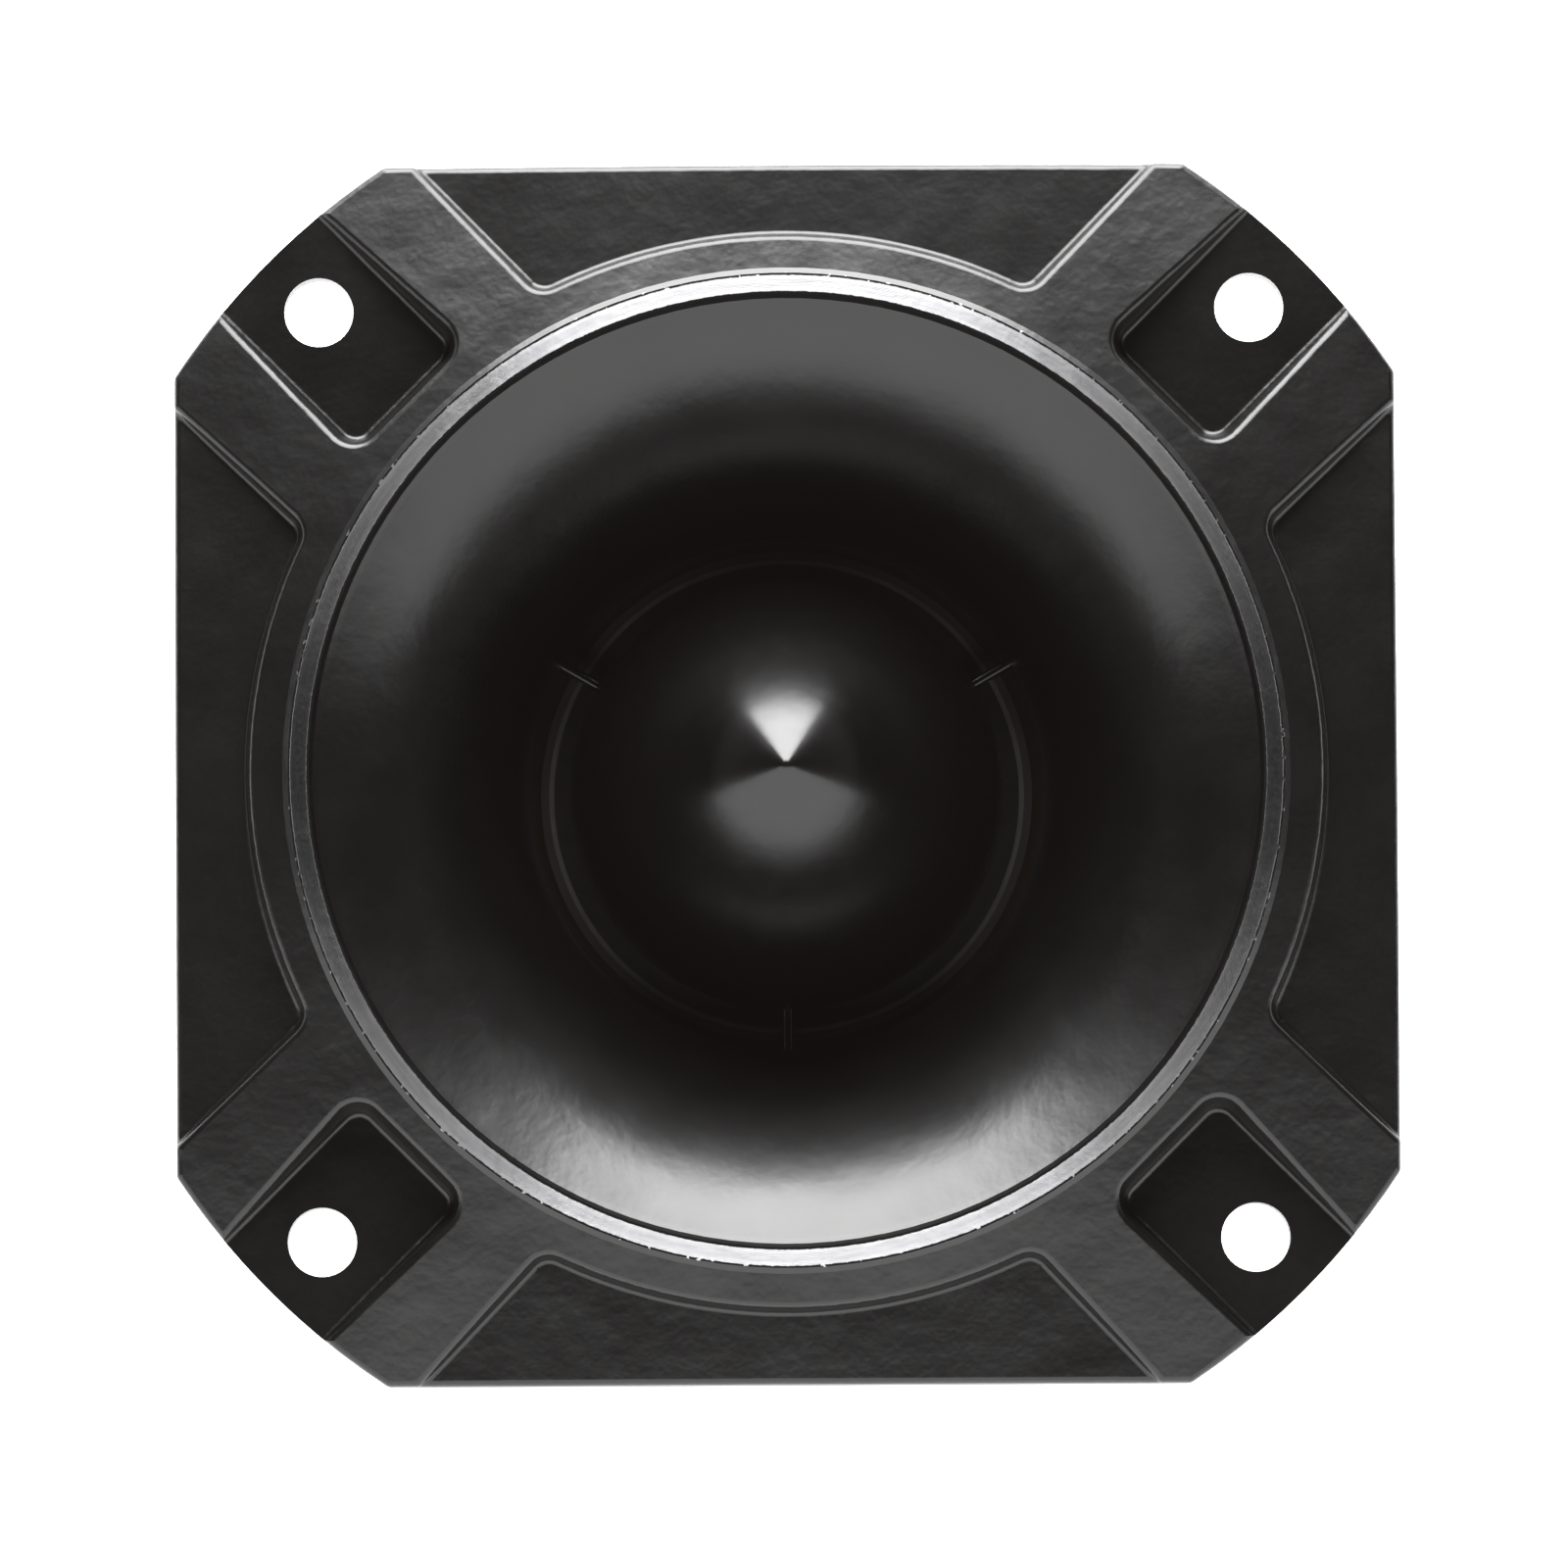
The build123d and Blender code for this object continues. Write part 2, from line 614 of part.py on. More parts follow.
def contacts():
    """Two bent brass strips: a leaf that grips the wire, a base, and a tail for the lead."""
    pieces = Part()

    def strip(x, half, front_y, low_z, rear_y, high_z):
        return block((x - half, front_y, low_z), (x + half, rear_y, high_z))

    for side in SIDES:
        x = side * TERMINAL_X
        half = CONTACT_HALF_WIDTH
        base_top = CONTACT_LOW_Z + STRIP
        leaf_rear = CONTACT_LEAF_Y + STRIP
        pieces += strip(x, half, CHAMBER_REAR_Y - STRIP, CONTACT_LOW_Z, CHAMBER_REAR_Y, CONTACT_HIGH_Z)
        pieces += strip(x, half, CONTACT_FRONT_Y, CONTACT_LOW_Z, CHAMBER_REAR_Y, base_top)
        pieces += strip(x, half, CONTACT_LEAF_Y, CONTACT_HIGH_Z - STRIP, CHAMBER_REAR_Y, CONTACT_HIGH_Z)
        pieces += strip(x, half, CONTACT_LEAF_Y, base_top + 0.9, leaf_rear, CONTACT_HIGH_Z)
        pieces += strip(x, TAIL_HALF_WIDTH, CONTACT_FRONT_Y, TAIL_END_Z, CONTACT_FRONT_Y + STRIP, base_top)
    return pieces


def terminal_screws():
    """Two pan-head cross-slot screws through the face plate."""
    arm, half = 1.2, 0.25
    slot_rear_y = PLATE_FRONT_Y - 0.5
    screws = Part()
    for side in SIDES:
        x = side * PLATE_SCREW_X
        head = along_y(Circle(PLATE_SCREW_HEAD_R), x, PLATE_SCREW_Z, PLATE_FRONT_Y - 1.3, PLATE_FRONT_Y)
        head = fillet(head.edges().sort_by(Axis.Y)[0], 0.7)
        for across, up in ((arm, half), (half, arm)):
            low = (x - across, PLATE_FRONT_Y - 2, PLATE_SCREW_Z - up)
            head -= block(low, (x + across, slot_rear_y, PLATE_SCREW_Z + up))
        screws += head
    return screws + plate_screw_holes(PLATE_SCREW_R, PLATE_FRONT_Y, -32)


def lead_wire(side):
    """A short insulated wire from one contact's tail to its solder lug."""
    start = (side * TERMINAL_X, LEAD_Y, TAIL_END_Z)
    path = FilletPolyline(
        start,
        (side * TERMINAL_X, LEAD_Y, TAIL_END_Z - 0.95),
        (side * LUG_X, LEAD_Y, TAIL_END_Z - 1.4),
        (side * LUG_X, LEAD_Y, RING_LOW + LUG_THICK + 0.05),
        radius=0.75,
    )
    return sweep(Plane(start, z_dir=(0, 0, -1)) * Circle(LEAD_R), path)


def parts():
    """Every separate piece, by name."""
    pieces = {
        "horn_flange": horn_flange(),
        "phase_plug": phase_plug(),
        "throat_gasket": tube(SEAT_R - 0.2, RING_HOLE_R, FILM_TOP_Z, SEAT_Z),
        "dome": dome(),
        "surround": surround(),
        "coil_former": tube(FORMER_R, COIL_R, COIL_LOW_Z - 0.2, DOME_EDGE_Z),
        "voice_coil": tube(FORMER_R + COIL_THICK, FORMER_R, COIL_LOW_Z, COIL_HIGH_Z),
        "coil_leads": coil_leads(),
        "diaphragm_ring": diaphragm_ring(),
        "solder_lugs": solder_lugs(),
        "rear_gasket": tube(SEAT_R - 0.2, RING_HOLE_R + 1, REAR_Z, RING_LOW),
        "top_plate": top_plate(),
        "magnet_ring": magnet_ring(),
        "yoke": yoke(),
        "pole_cap": pole_cap(),
        "damping_pad": disc(PAD_R, REAR_Z + CAP_THICK, REAR_Z + CAP_THICK + PAD_THICK),
        "motor_screws": motor_screws(),
        "lock_washers": lock_washers(),
        "terminal_block": terminal_block(),
        "terminal_screws": terminal_screws(),
        "contacts": contacts(),
    }
    for colour, side in (("red", -1), ("black", 1)):
        pieces[colour + "_tab"] = push_tab(side)
        pieces[colour + "_tab_spring"] = tab_spring(side)
        pieces[colour + "_lead"] = lead_wire(side)
    return pieces


os.makedirs("parts", exist_ok=True)
for name, shape in parts().items():
    export_step(shape, f"parts/{name}.step")
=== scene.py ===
"""Looks, studio and camera for the car bullet tweeter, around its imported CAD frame. Metres."""
import json
import math

import bmesh
import bpy
from mathutils import Matrix, Vector


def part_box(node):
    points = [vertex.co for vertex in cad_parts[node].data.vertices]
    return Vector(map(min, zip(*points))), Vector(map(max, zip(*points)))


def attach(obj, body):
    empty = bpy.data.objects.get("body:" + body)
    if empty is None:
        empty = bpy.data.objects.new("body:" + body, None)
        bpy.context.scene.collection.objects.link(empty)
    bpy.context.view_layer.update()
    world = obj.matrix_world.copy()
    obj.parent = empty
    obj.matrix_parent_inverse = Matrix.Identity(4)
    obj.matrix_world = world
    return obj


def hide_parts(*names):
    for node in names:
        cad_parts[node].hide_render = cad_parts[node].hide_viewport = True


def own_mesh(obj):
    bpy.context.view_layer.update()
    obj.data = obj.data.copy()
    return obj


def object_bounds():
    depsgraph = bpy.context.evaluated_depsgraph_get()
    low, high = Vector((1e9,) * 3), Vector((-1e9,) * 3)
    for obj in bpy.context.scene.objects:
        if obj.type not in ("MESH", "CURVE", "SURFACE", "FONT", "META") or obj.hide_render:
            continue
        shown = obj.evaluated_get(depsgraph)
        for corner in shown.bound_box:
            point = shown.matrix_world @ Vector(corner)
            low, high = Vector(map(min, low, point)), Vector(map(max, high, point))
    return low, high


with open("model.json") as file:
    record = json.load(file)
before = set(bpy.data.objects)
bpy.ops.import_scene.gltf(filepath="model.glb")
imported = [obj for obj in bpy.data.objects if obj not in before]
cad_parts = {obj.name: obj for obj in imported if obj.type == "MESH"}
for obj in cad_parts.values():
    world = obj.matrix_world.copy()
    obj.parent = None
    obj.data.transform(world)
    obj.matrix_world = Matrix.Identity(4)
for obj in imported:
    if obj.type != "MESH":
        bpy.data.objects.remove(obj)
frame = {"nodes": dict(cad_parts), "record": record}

CAD_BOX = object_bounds()
NODES = frame["nodes"]
MM = 0.001


# ---------------------------------------------------------------- node-tree helpers
class Tree:
    """A material's node tree, with short ways to add and join nodes."""

    def __init__(self, name):
        self.material = bpy.data.materials.new(name)
        self.material.use_nodes = True
        self.nodes = self.material.node_tree.nodes
        self.links = self.material.node_tree.links
        self.shader = self.nodes["Principled BSDF"]
        self.place = self.add("ShaderNodeTexCoord").outputs["Object"]

    def add(self, kind, **settings):
        node = self.nodes.new(kind)
        for key, value in settings.items():
            setattr(node, key, value)
        return node

    def put(self, socket, value):
        """Joins an output to a socket, or sets the socket to a plain value."""
        if isinstance(value, bpy.types.NodeSocket):
            self.links.new(value, socket)
        else:
            socket.default_value = value

    def math(self, operation, first, second=0.0, third=0.0, clamp=False):
        node = self.add("ShaderNodeMath", operation=operation, use_clamp=clamp)
        for socket, value in zip(node.inputs, (first, second, third)):
            self.put(socket, value)
        return node.outputs[0]

    def ramp(self, value, low, high, to_low=0.0, to_high=1.0, smooth=True):
        """value mapped from low..high to to_low..to_high, held outside."""
        node = self.add("ShaderNodeMapRange")
        node.interpolation_type = "SMOOTHSTEP" if smooth else "LINEAR"
        for socket, number in zip(node.inputs, (value, low, high, to_low, to_high)):
            self.put(socket, number)
        return node.outputs[0]

    def noise(self, size, detail=3.0, roughness=0.5, distortion=0.0, stretch=None):
        """Noise whose features are about size metres across."""
        node = self.add("ShaderNodeTexNoise")
        node.inputs["Scale"].default_value = 1.0 / size
        node.inputs["Detail"].default_value = detail
        node.inputs["Roughness"].default_value = roughness
        node.inputs["Distortion"].default_value = distortion
        place = self.place
        if stretch:
            mapping = self.add("ShaderNodeMapping")
            mapping.inputs["Scale"].default_value = stretch
            self.links.new(place, mapping.inputs["Vector"])
            place = mapping.outputs[0]
        self.links.new(place, node.inputs["Vector"])
        return node.outputs[0]

    def mix_colour(self, factor, first, second):
        node = self.add("ShaderNodeMix", data_type="RGBA")
        self.put(node.inputs["Factor"], factor)
        self.put(node.inputs["A"], first)
        self.put(node.inputs["B"], second)
        return node.outputs["Result"]

    def mix(self, factor, first, second):
        node = self.add("ShaderNodeMix", data_type="FLOAT")
        self.put(node.inputs[0], factor)
        self.put(node.inputs[2], first)
        self.put(node.inputs[3], second)
        return node.outputs[0]

    def bump(self, height, depth, strength=1.0, below=None):
        """A bump of depth metres, on top of another bump if given."""
        node = self.add("ShaderNodeBump")
        node.inputs["Strength"].default_value = strength
        node.inputs["Distance"].default_value = depth
        self.put(node.inputs["Height"], height)
        if below is not None:
            self.links.new(below, node.inputs["Normal"])
        return node.outputs[0]

    def axis_polar(self):
        """(radius, height, angle) of the shaded point about the tweeter's axis."""
        split = self.add("ShaderNodeSeparateXYZ")
        self.links.new(self.place, split.inputs[0])
        x, y, z = split.outputs
        square = self.math("ADD", self.math("MULTIPLY", x, x), self.math("MULTIPLY", y, y))
        return self.math("SQRT", square), z, self.math("ARCTAN2", y, x)


def rgb(red, green=None, blue=None):
    """An opaque colour; one number gives a grey."""
    return (red, red if green is None else green, red if blue is None else blue, 1.0)


# ---------------------------------------------------------------- materials
RING_INNER_R = 38.0 * MM  # the bare turned ring round the mouth
RING_OUTER_R = 39.25 * MM
RING_MIDDLE_R = (RING_INNER_R + RING_OUTER_R) / 2
RING_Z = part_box("horn_flange")[1][2]
TAB_FRONT_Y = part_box("red_tab")[0][1]
MAGNET_LOW, MAGNET_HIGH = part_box("magnet_ring")
RIB_PITCH = 1.0 * MM


def tint(tree, size, dark, light, detail=3.0):
    """A base colour that wanders between two colours over patches of some size."""
    tree.put(tree.shader.inputs["Base Color"], tree.mix_colour(tree.noise(size, detail), dark, light))


def wander(tree, size, low, high):
    """A roughness that wanders between two values."""
    patches = tree.noise(size, detail=4.0)
    tree.put(tree.shader.inputs["Roughness"], tree.ramp(patches, 0.25, 0.75, low, high))


def relief(tree, *layers):
    """Bumps laid on one another; each layer is (height, depth in metres)."""
    normal = None
    for height, depth in layers:
        normal = tree.bump(height, depth, below=normal)
    tree.put(tree.shader.inputs["Normal"], normal)


def ripple(tree, value, pitch):
    """A wave along a value, from -1 to 1."""
    return tree.math("SINE", tree.math("MULTIPLY", value, 2 * math.pi / pitch))


def turned_grain(tree, amount, across=0.25):
    """Highlights drawn out the way a lathe leaves them."""
    tangent = tree.add("ShaderNodeTangent", direction_type="RADIAL", axis="Z")
    tree.put(tree.shader.inputs["Tangent"], tangent.outputs[0])
    tree.put(tree.shader.inputs["Anisotropic"], amount)
    tree.shader.inputs["Anisotropic Rotation"].default_value = across


def lathe_streaks(tree, radius, angle, pitch):
    """Noise drawn out round the axis, the way a turning tool leaves a face."""
    place = tree.add("ShaderNodeCombineXYZ")
    tree.put(place.inputs[0], radius)
    way_round = tree.math("MULTIPLY", angle, 4 * MM)  # far shorter than the real one, which draws it out
    tree.put(place.inputs[1], way_round)
    noise = tree.add("ShaderNodeTexNoise")
    noise.inputs["Scale"].default_value = 1.0 / pitch
    tree.links.new(place.outputs[0], noise.inputs["Vector"])
    return noise.outputs[0]


def bare_ring(tree, radius, height):
    """1 on the bare metal of the turned ring, 0 on paint; its edges are uneven and nicked outside."""
    chips = tree.noise(0.45 * MM, detail=5.0, roughness=0.75)
    wobble = tree.math("MULTIPLY", tree.math("SUBTRACT", chips, 0.5), 0.22 * MM)
    edge_r = tree.math("ADD", radius, wobble)
    inner = tree.ramp(edge_r, RING_INNER_R - 0.02 * MM, RING_INNER_R + 0.03 * MM)
    nicks = tree.ramp(tree.noise(0.6 * MM, detail=2.0), 0.60, 0.66)
    outer_r = tree.math("SUBTRACT", edge_r, tree.math("MULTIPLY", nicks, 0.2 * MM))
    outer = tree.ramp(outer_r, RING_OUTER_R - 0.02 * MM, RING_OUTER_R + 0.06 * MM, 1.0, 0.0)
    on_top = tree.ramp(height, RING_Z - 0.9 * MM, RING_Z - 0.6 * MM)
    return tree.math("MULTIPLY", tree.math("MULTIPLY", inner, outer), on_top)


def turned_metal(tree, radius, angle, fine):
    """The ring's colour: streaks round the axis, with a painted highlight that lightens it towards both
    edges.
    """
    streaks = lathe_streaks(tree, radius, angle, 0.3 * MM)
    from_middle = tree.math("ABSOLUTE", tree.math("SUBTRACT", radius, RING_MIDDLE_R))
    # painted highlight: the colour grows lighter towards both edges of the ring, where its roundings would
    # catch the light
    edges = tree.ramp(from_middle, 0.2 * MM, 0.6 * MM, 0.0, 0.3)
    grain_and_edge_highlight = tree.math("ADD", tree.math("MULTIPLY", streaks, 0.7), edges)
    grain_and_edge_highlight = tree.math("ADD", grain_and_edge_highlight, tree.math("MULTIPLY", fine, 0.25))
    return tree.mix_colour(grain_and_edge_highlight, rgb(0.245, 0.245, 0.25), rgb(0.45, 0.45, 0.46))


def cast_paint():
    """Satin black paint on a die casting, with the bare turned ring round the mouth."""
    tree = Tree("cast_black_paint")
    radius, height, angle = tree.axis_polar()
    bare = bare_ring(tree, radius, height)
    mottle = tree.noise(6 * MM, detail=3.0)
    fine = tree.noise(0.35 * MM, detail=4.0)
    speck = tree.ramp(tree.noise(1.1 * MM, detail=5.0, roughness=0.7), 0.66, 0.72)
    paint = tree.mix_colour(mottle, rgb(0.0005, 0.0004, 0.0004), rgb(0.0014, 0.0013, 0.0013))
    paint = tree.mix_colour(speck, paint, rgb(0.0042, 0.0040, 0.0038))
    metal = turned_metal(tree, radius, angle, fine)
    tree.put(tree.shader.inputs["Base Color"], tree.mix_colour(bare, paint, metal))
    tree.put(tree.shader.inputs["Metallic"], bare)
    unevenness = tree.math("ADD", mottle, tree.math("MULTIPLY", fine, 0.6))
    paint_rough = tree.ramp(unevenness, 0.4, 1.2, 0.285, 0.335)
    metal_rough = tree.ramp(fine, 0.2, 0.8, 0.39, 0.47)
    tree.put(tree.shader.inputs["Roughness"], tree.mix(bare, paint_rough, metal_rough))
    smoother_bell = tree.ramp(radius, RING_INNER_R - 1.0 * MM, RING_INNER_R, 0.6, 1.0)
    flow = tree.noise(3.4 * MM, detail=3.0, roughness=0.6, stretch=(1, 1, 0.3))
    flow = tree.math("MULTIPLY", flow, smoother_bell)
    peel = tree.math("MULTIPLY", tree.noise(0.7 * MM, detail=3.0), smoother_bell)
    groove = tree.math("MULTIPLY", ripple(tree, radius, 0.12 * MM), bare)
    cloud = tree.math("MULTIPLY", tree.noise(13 * MM, detail=2.0), smoother_bell)
    relief(tree, (cloud, 0.3 * MM), (flow, 0.075 * MM), (peel, 0.013 * MM), (groove, 0.003 * MM))
    turned_grain(tree, tree.math("MULTIPLY", bare, 0.9))
    return tree.material


def plug_plastic():
    """Smooth satin black moulding."""
    tree = Tree("plug_black_plastic")
    tint(tree, 5 * MM, rgb(0.0010, 0.0009, 0.0009), rgb(0.0018, 0.0017, 0.0016))
    wander(tree, 1.5 * MM, 0.245, 0.275)
    relief(tree, (tree.noise(2.2 * MM), 0.014 * MM), (tree.noise(0.5 * MM), 0.004 * MM))
    return tree.material


def turned_steel():
    """Zinc-plated steel with faint lathe rings and passivation tints."""
    tree = Tree("zinc_plated_steel")
    radius, height, _ = tree.axis_polar()
    tint(tree, 9 * MM, rgb(0.150, 0.148, 0.140), rgb(0.215, 0.212, 0.205))
    wander(tree, 2.5 * MM, 0.30, 0.44)
    rings = ripple(tree, tree.math("ADD", radius, height), 0.45 * MM)
    relief(tree, (rings, 0.0025 * MM), (tree.noise(0.3 * MM), 0.004 * MM), (tree.noise(4 * MM), 0.02 * MM))
    tree.shader.inputs["Metallic"].default_value = 1.0
    turned_grain(tree, 0.55)
    return tree.material


def sintered_ferrite():
    """Dark ceramic: dull, grainy, with small lighter chips along its edges."""
    tree = Tree("ferrite")
    radius, height, _ = tree.axis_polar()
    above_low = tree.math("SUBTRACT", height, MAGNET_LOW[2])
    below_high = tree.math("SUBTRACT", MAGNET_HIGH[2], height)
    to_edge = tree.math("MINIMUM", above_low, below_high)
    near_edge = tree.ramp(to_edge, 0.3 * MM, 1.5 * MM, 1.0, 0.0)
    magnet_r = MAGNET_HIGH[0]
    near_edge = tree.math("MULTIPLY", near_edge, tree.ramp(radius, magnet_r - 2 * MM, magnet_r - 1 * MM))
    chip = tree.ramp(tree.noise(1.6 * MM, detail=5.0, roughness=0.65), 0.56, 0.60)
    chip = tree.math("MULTIPLY", chip, near_edge)
    grain = tree.noise(0.25 * MM, detail=4.0)
    grain = tree.mix_colour(grain, rgb(0.007, 0.007, 0.008), rgb(0.017, 0.017, 0.018))
    tree.put(tree.shader.inputs["Base Color"], tree.mix_colour(chip, grain, rgb(0.040, 0.040, 0.042)))
    wander(tree, 0.8 * MM, 0.45, 0.62)
    pit = tree.math("MULTIPLY", chip, -1.0)
    relief(tree, (pit, 0.18 * MM), (tree.noise(0.2 * MM, 4.0), 0.010 * MM), (tree.noise(5 * MM), 0.03 * MM))
    return tree.material


def moulded(name, colour, low, high, ribbed=False):
    """Moulded plastic with a fine spark-eroded grain, and grip ribs across a tab's front if asked for."""
    tree = Tree(name)
    dark = rgb(*(0.88 * part for part in colour))
    light = rgb(*(1.1 * part for part in colour))
    tint(tree, 3 * MM, dark, light)
    wander(tree, 1.2 * MM, low, high)
    layers = [(tree.noise(0.12 * MM, 2.0), 0.006 * MM)]
    if ribbed:
        split = tree.add("ShaderNodeSeparateXYZ")
        tree.links.new(tree.place, split.inputs[0])
        _, y, z = split.outputs
        on_front = tree.ramp(y, TAB_FRONT_Y + 0.25 * MM, TAB_FRONT_Y + 0.45 * MM, 1.0, 0.0)
        ribs = tree.math("MULTIPLY", ripple(tree, z, RIB_PITCH), on_front)
        layers.insert(0, (ribs, 0.16 * MM))
    relief(tree, *layers)
    return tree.material


def metal(name, dark, light, low, high, size=1.2 * MM, spun=0.0):
    """A metal that wanders between two colours and two roughnesses."""
    tree = Tree(name)
    tint(tree, size, dark, light, 4.0)
    wander(tree, 0.7 * size, low, high)
    relief(tree, (tree.noise(0.2 * MM, 4.0), 0.004 * MM), (tree.noise(2.5 * MM), 0.012 * MM))
    tree.shader.inputs["Metallic"].default_value = 1.0
    if spun:
        turned_grain(tree, spun)
    return tree.material


def windings():
    """Enamelled copper wire, wound tight."""
    tree = Tree("enamelled_copper")
    _, height, _ = tree.axis_polar()
    tint(tree, 2 * MM, rgb(0.62, 0.22, 0.09), rgb(0.80, 0.34, 0.16))
    wander(tree, 1 * MM, 0.20, 0.32)
    tree.shader.inputs["Metallic"].default_value = 1.0
    tree.shader.inputs["Coat Weight"].default_value = 0.6
    relief(tree, (ripple(tree, height, 0.22 * MM), 0.05 * MM))
    return tree.material


def film(name, dark, light, low, high):
    """A thin smooth resin film with faint ripples."""
    tree = Tree(name)
    tint(tree, 2 * MM, dark, light)
    wander(tree, 1.5 * MM, low, high)
    relief(tree, (tree.noise(1.2 * MM), 0.015 * MM))
    return tree.material


def fibrous(name, dark, light, size, depth, low, high, sheen=0.0):
    """Felt, gasket sheet or resin board, by the size of its grain."""
    tree = Tree(name)
    tint(tree, 1.5 * size, dark, light, 5.0)
    wander(tree, size, low, high)
    relief(tree, (tree.noise(size, 5.0, 0.65, stretch=(1, 1, 2.5)), depth))
    tree.shader.inputs["Sheen Weight"].default_value = sheen
    return tree.material


FINISH = {
    "cast_black": cast_paint(),
    "plug_black": plug_plastic(),
    "gasket": fibrous("gasket_sheet", rgb(0.012), rgb(0.026), 0.25 * MM, 0.02 * MM, 0.75, 0.9),
    "titanium": metal("titanium", rgb(0.16, 0.155, 0.15), rgb(0.24, 0.235, 0.225), 0.42, 0.52, spun=0.3),
    "film": film("surround_film", rgb(0.010, 0.008, 0.006), rgb(0.020, 0.015, 0.011), 0.38, 0.48),
    "former": film("former_film", rgb(0.34, 0.15, 0.03), rgb(0.50, 0.25, 0.06), 0.25, 0.35),
    "copper": windings(),
    "phenolic": fibrous("phenolic_board", rgb(0.09, 0.032, 0.012), rgb(0.16, 0.062, 0.024),
                        0.3 * MM, 0.01 * MM, 0.4, 0.55),
    "brass": metal("brass", rgb(0.60, 0.42, 0.18), rgb(0.80, 0.62, 0.30), 0.24, 0.38),
    "plated_steel": turned_steel(),
    "ferrite": sintered_ferrite(),
    "felt": fibrous("felt", rgb(0.05), rgb(0.16), 0.35 * MM, 0.12 * MM, 0.9, 1.0, sheen=0.4),
    "screw_steel": metal("black_oxide_steel", rgb(0.030, 0.030, 0.032), rgb(0.075, 0.074, 0.072),
                         0.32, 0.46),
    "spring_steel": metal("spring_steel", rgb(0.17, 0.17, 0.165), rgb(0.25, 0.25, 0.245), 0.24, 0.34),
    "terminal_black": moulded("terminal_black", (0.010, 0.010, 0.0105), 0.34, 0.44),
    "tab_red": moulded("tab_red", (0.42, 0.010, 0.008), 0.26, 0.36, ribbed=True),
    "tab_black": moulded("tab_black", (0.010, 0.010, 0.0105), 0.26, 0.36, ribbed=True),
    "wire_red": moulded("wire_red", (0.40, 0.012, 0.010), 0.36, 0.48),
    "wire_black": moulded("wire_black", (0.012, 0.012, 0.012), 0.36, 0.48),
}


def dress_cad_nodes():
    """Gives every CAD node the finish of its material slot."""
    for entry in frame["record"]["subparts"]:
        node = NODES[entry["node"]]
        node.data.materials.clear()
        node.data.materials.append(FINISH[entry["material_slot"]])


# ---------------------------------------------------------------- shading of the CAD nodes
SAME_SURFACE = math.cos(math.radians(22))  # faces that meet at less than this flow into each other
SAME_SPOT = 0.001 * MM


def face_labels(mesh):
    """A label per vertex: CAD faces share no vertices, so each is a connected patch of its own."""
    parent = list(range(len(mesh.vertices)))

    def root(index):
        while parent[index] != index:
            parent[index] = parent[parent[index]]
            index = parent[index]
        return index

    for edge in mesh.edges:
        first, second = (root(index) for index in edge.vertices)
        parent[first] = second
    return [root(index) for index in range(len(parent))]


def patch_areas(mesh, labels):
    """The area of each labelled patch."""
    areas = dict.fromkeys(labels, 0.0)
    for face in mesh.polygons:
        areas[labels[face.vertices[0]]] += face.area
    return areas


def meeting_vertices(mesh):
    """Groups of vertices that lie in the same spot."""
    groups = {}
    for vertex in mesh.vertices:
        spot = tuple(round(c / SAME_SPOT) for c in vertex.co)
        groups.setdefault(spot, []).append(vertex.index)
    return groups.values()


def smooth_cad_node(node):
    """Evens out the shading where CAD faces flow into each other. No vertex is moved.

    At a shared border the smaller face, such as a rounding, takes the larger one's normal.
    """
    mesh = node.data
    labels = face_labels(mesh)
    areas = patch_areas(mesh, labels)
    normals = [None] * len(mesh.vertices)
    for loop, corner in zip(mesh.loops, mesh.corner_normals):
        normals[loop.vertex_index] = corner.vector.copy()
    for group in meeting_vertices(mesh):
        group.sort(key=lambda index: -areas[labels[index]])
        for place, index in enumerate(group):
            for larger in group[:place]:
                if normals[index].dot(normals[larger]) > SAME_SURFACE:
                    normals[index] = normals[larger]
                    break
    mesh.normals_split_custom_set_from_vertices(normals)


# ---------------------------------------------------------------- tab springs
WIRE_R = 0.2 * MM
LIVE_COILS = 5
DEAD_COILS = 1
RINGS_PER_COIL = 40
WIRE_SIDES = 12
CLOSED_PITCH = 2.05 * WIRE_R  # the end coils nearly touch


def coil_heights(length):
    """How far along the spring its wire is, ring by ring: close-wound ends, open in between."""
    open_pitch = (length - 2 * DEAD_COILS * CLOSED_PITCH) / LIVE_COILS
    heights = []
    for ring in range(RINGS_PER_COIL * (LIVE_COILS + 2 * DEAD_COILS) + 1):
        coils = ring / RINGS_PER_COIL
        opened = min(max(coils - DEAD_COILS, 0), LIVE_COILS)
        closed = coils - opened
        heights.append(closed * CLOSED_PITCH + opened * open_pitch)
    return heights


def wire_rings(shape, low, high):
    """Rings of points round the wire, from the front of the spring to its rear."""
    middle = (low + high) / 2
    coil_r = (high.z - low.z) / 2 - WIRE_R
    rings = []
    for ring, along in enumerate(coil_heights(high.y - low.y - 2 * WIRE_R)):
        turn = 2 * math.pi * ring / RINGS_PER_COIL
        outward = Vector((math.cos(turn), 0, math.sin(turn)))
        centre = Vector((middle.x, low.y + WIRE_R + along, middle.z)) + outward * coil_r
        section = []
        for side in range(WIRE_SIDES):
            a = 2 * math.pi * side / WIRE_SIDES
            offset = outward * math.cos(a) + Vector((0, math.sin(a), 0))
            section.append(shape.verts.new(centre + offset * WIRE_R))
        rings.append(section)
    return rings


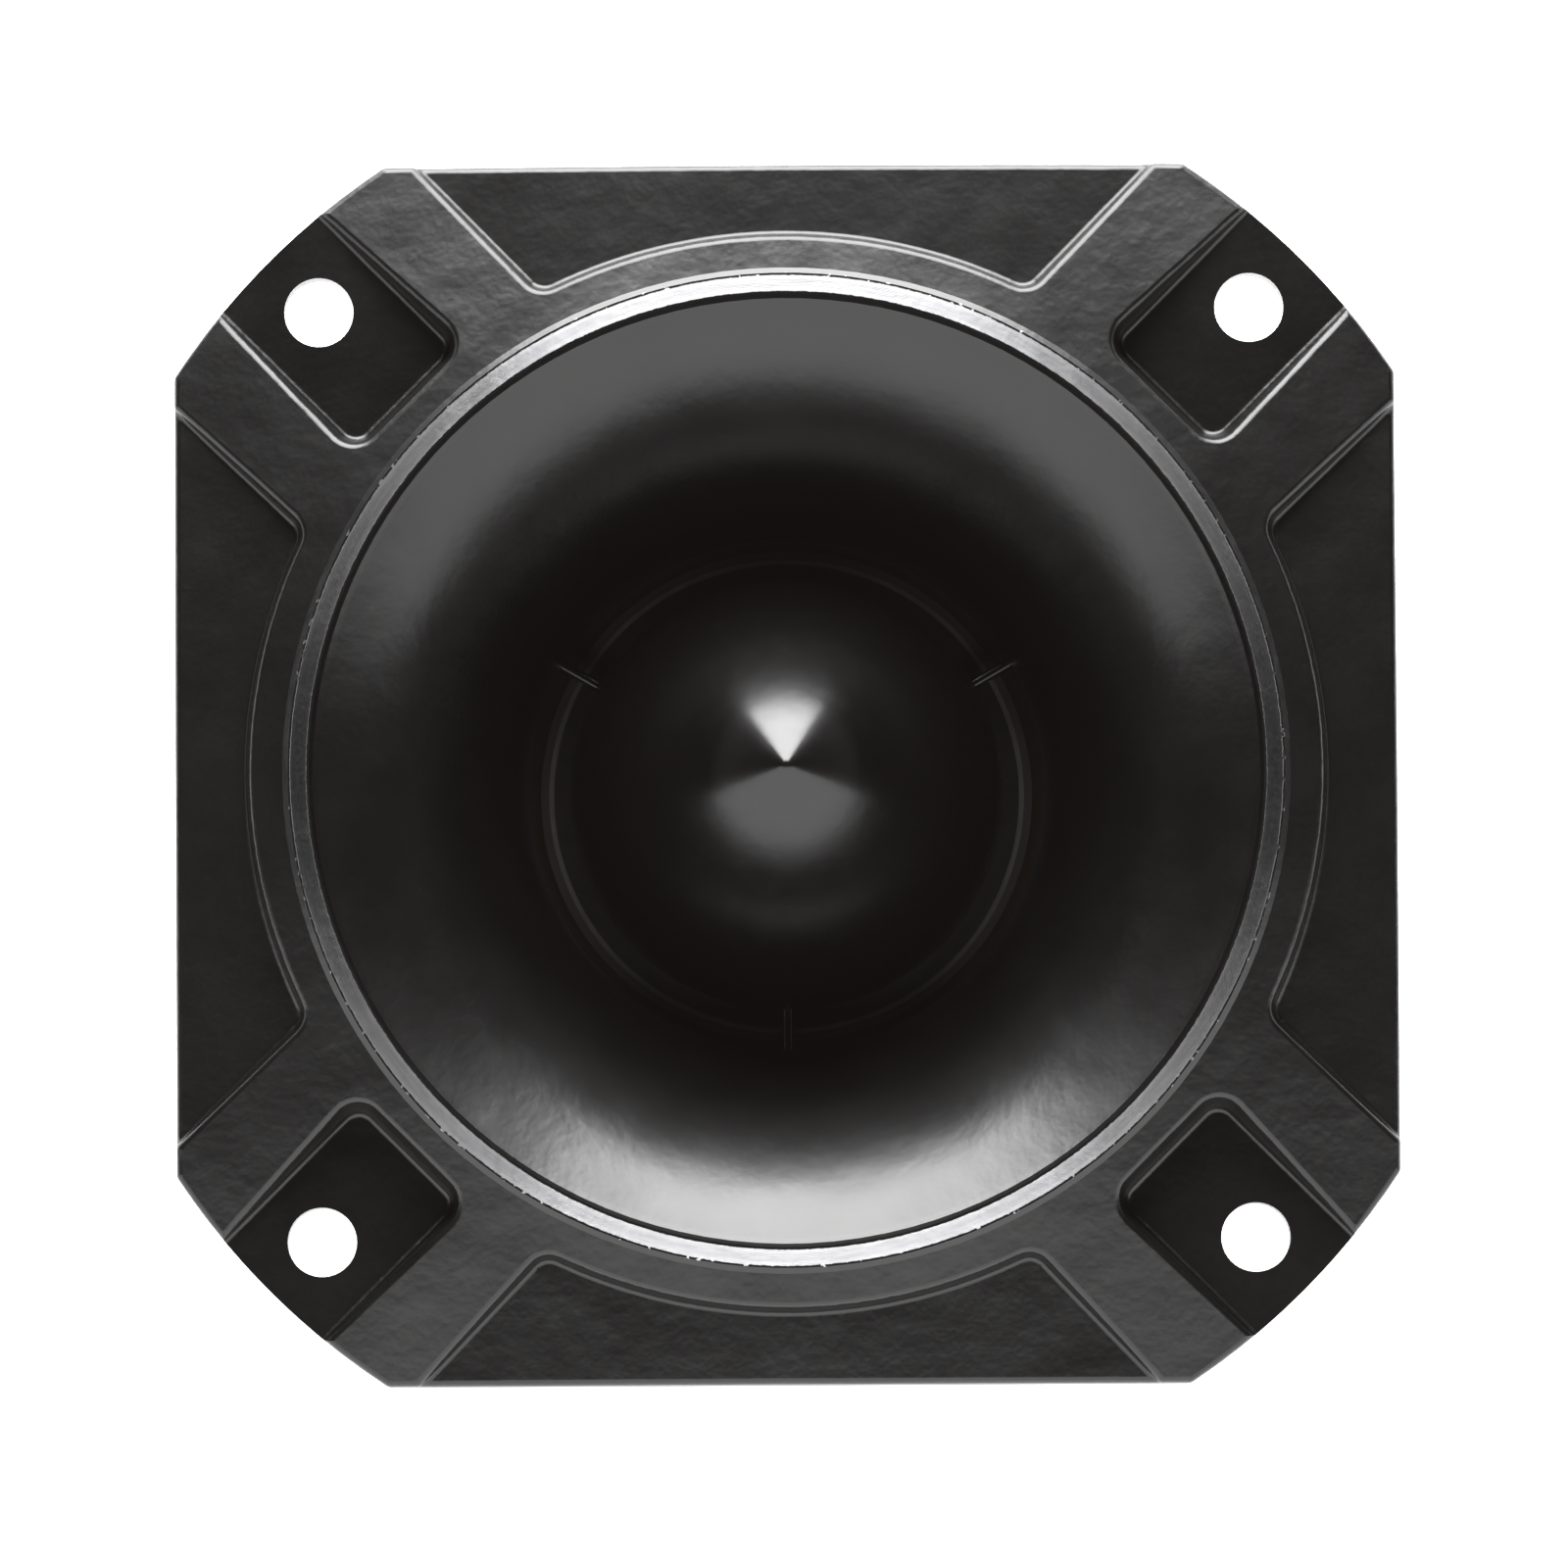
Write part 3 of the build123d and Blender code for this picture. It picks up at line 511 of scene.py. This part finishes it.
def spring_mesh(name, low, high):
    """A wire spring wound along Y that fills the box from low to high."""
    shape = bmesh.new()
    rings = wire_rings(shape, low, high)
    for ring, following in zip(rings, rings[1:]):
        for side in range(WIRE_SIDES):
            after = (side + 1) % WIRE_SIDES
            shape.faces.new((ring[side], ring[after], following[after], following[side]))
    shape.faces.new(rings[0])
    shape.faces.new(reversed(rings[-1]))
    bmesh.ops.recalc_face_normals(shape, faces=shape.faces)
    mesh = bpy.data.meshes.new(name)
    shape.to_mesh(mesh)
    shape.free()
    mesh.shade_smooth()
    mesh.materials.append(FINISH["spring_steel"])
    return mesh


def tab_spring(node_name):
    """A wound wire spring in place of its plain CAD one."""
    low, high = (Vector(corner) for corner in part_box(node_name))
    name = node_name + "_wound"
    spring = bpy.data.objects.new(name, spring_mesh(name, low, high))
    bpy.context.scene.collection.objects.link(spring)
    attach(spring, "housing")
    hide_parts(node_name)
    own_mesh(spring)


dress_cad_nodes()
for node in NODES.values():
    smooth_cad_node(node)
for colour in ("red", "black"):
    tab_spring(colour + "_tab_spring")


# ---------------------------------------------------------------- studio
FLOOR_Z = CAD_BOX[0][2]
FLOOR_DROP = 0.2 * MM  # keeps the floor from coinciding with the underside
FLOOR_SIZE = 8.0
FLOOR_GLOW = 0.8  # makes the floor come out white
LIGHT_DISTANCE = 0.5
WORLD_GREY = 0.012
SENSOR_W = 36.0
CLIP_NEAR = 0.01
CLIP_FAR = 50.0
VIEW_W = 0.12397  # width of the view at the flange, so that the flange takes 78 % of it
VIEW_MIDDLE = Vector((-0.2 * MM, -1.17 * MM, 8.4 * MM))
DISTANCE = 1.25
ELEVATION = 86.1  # of the camera, in degrees
ROLL = 0.33  # of the camera, in degrees
FILM_BLACK = (0.0060, 0.0049, 0.0044)  # how far the picture's black stands above none


def floor():
    """A plain white floor."""
    bpy.ops.mesh.primitive_plane_add(size=FLOOR_SIZE, location=(0, 0, FLOOR_Z - FLOOR_DROP))
    plane = bpy.context.object
    plane.name = "studio_floor"
    tree = Tree("studio_floor")
    tree.shader.inputs["Base Color"].default_value = rgb(0.9)
    tree.shader.inputs["Roughness"].default_value = 0.9
    tree.shader.inputs["Emission Color"].default_value = rgb(1.0)
    tree.shader.inputs["Emission Strength"].default_value = FLOOR_GLOW
    plane.data.materials.append(tree.material)


def wall_light(name, azimuth, half_width, top, radiance):
    """An upright light that stands on the floor and faces the tweeter.

    Azimuth is counted from +X towards +Y; half_width and top are what it fills of the sky, in degrees.
    """
    data = bpy.data.lights.new(name, "AREA")
    data.shape = "RECTANGLE"
    top_z = LIGHT_DISTANCE * math.tan(math.radians(top))
    data.size = 2 * LIGHT_DISTANCE * math.tan(math.radians(half_width))
    data.size_y = top_z - FLOOR_Z
    data.energy = radiance * math.pi * data.size * data.size_y
    lamp = bpy.data.objects.new(name, data)
    a = math.radians(azimuth)
    away = Vector((math.cos(a), math.sin(a), 0))
    lamp.location = away * LIGHT_DISTANCE + Vector((0, 0, (top_z + FLOOR_Z) / 2))
    lamp.rotation_euler = (-away).to_track_quat("-Z", "Y").to_euler()
    bpy.context.scene.collection.objects.link(lamp)


def camera():
    """Looks almost straight down the axis, from a little towards -Y."""
    data = bpy.data.cameras.new("camera")
    data.sensor_width = SENSOR_W
    data.lens = SENSOR_W * DISTANCE / VIEW_W
    data.clip_start = CLIP_NEAR
    data.clip_end = CLIP_FAR
    shooter = bpy.data.objects.new("camera", data)
    e = math.radians(ELEVATION)
    away = Vector((0, -math.cos(e), math.sin(e)))
    shooter.location = VIEW_MIDDLE + away * DISTANCE
    look = (-away).to_track_quat("-Z", "Y").to_matrix()
    shooter.rotation_euler = (look @ Matrix.Rotation(math.radians(-ROLL), 3, "Z")).to_euler()
    bpy.context.scene.collection.objects.link(shooter)
    bpy.context.scene.camera = shooter


def studio():
    """A bright light from the top of the picture, a dim wide one from its bottom, and the camera."""
    floor()
    wall_light("key", azimuth=91.9, half_width=29.5, top=49, radiance=17.5)
    wall_light("fill", azimuth=270, half_width=76, top=69, radiance=2.5)
    world = bpy.data.worlds.new("studio_world")
    world.use_nodes = True
    world.node_tree.nodes["Background"].inputs["Color"].default_value = rgb(WORLD_GREY)
    bpy.context.scene.world = world
    view = bpy.context.scene.view_settings
    view.view_transform = "Standard"
    view.use_curve_mapping = True
    view.curve_mapping.black_level = tuple(-level for level in FILM_BLACK)
    view.curve_mapping.update()
    camera()


studio()
